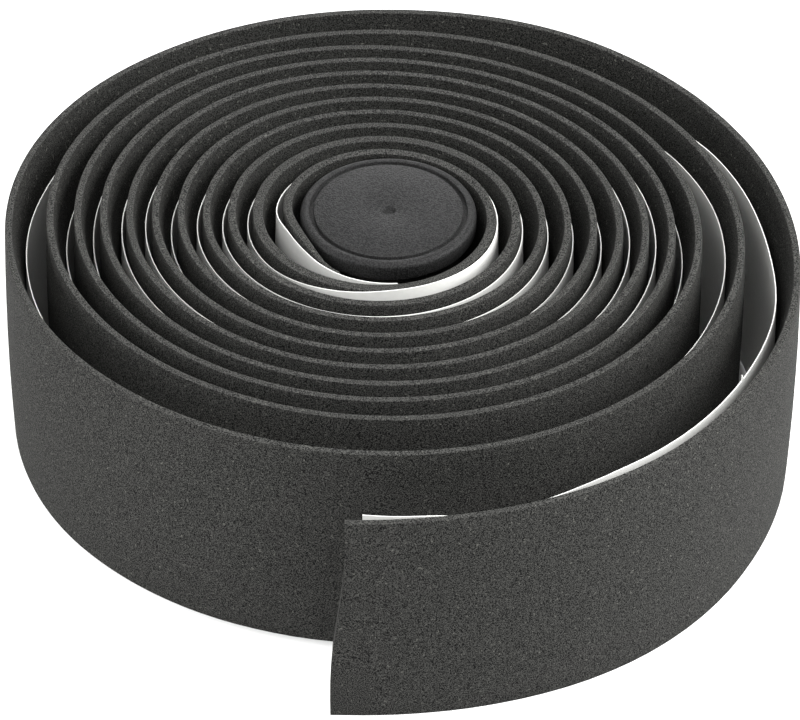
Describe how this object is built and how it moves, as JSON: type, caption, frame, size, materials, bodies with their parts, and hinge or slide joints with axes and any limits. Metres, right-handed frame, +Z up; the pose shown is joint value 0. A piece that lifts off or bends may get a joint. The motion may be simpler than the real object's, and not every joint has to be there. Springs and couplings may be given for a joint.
{
  "type": "handlebar tape roll",
  "caption": "Roll of skived foam handlebar tape wound with its release paper, free end swung open, with a bar end plug closed in its core.",
  "frame": {"origin": "under the middle of the roll's bounding box, on the surface that it stands on", "axes": "+Z up along the roll's axis, +X to the right and -Y towards the viewer, with the strip's free end at the front left"},
  "size_m": [0.097, 0.1002, 0.03],
  "materials": {
    "foam": "matt closed-cell foam with a fine grain",
    "paper": "smooth siliconised paper, slightly glossy",
    "plug": "satin moulded plastic with a fine texture"
  },
  "bodies": {
    "root": {"tape_strip": "foam", "release_paper": "paper", "end_plug": "plug"}
  },
  "joints": []
}
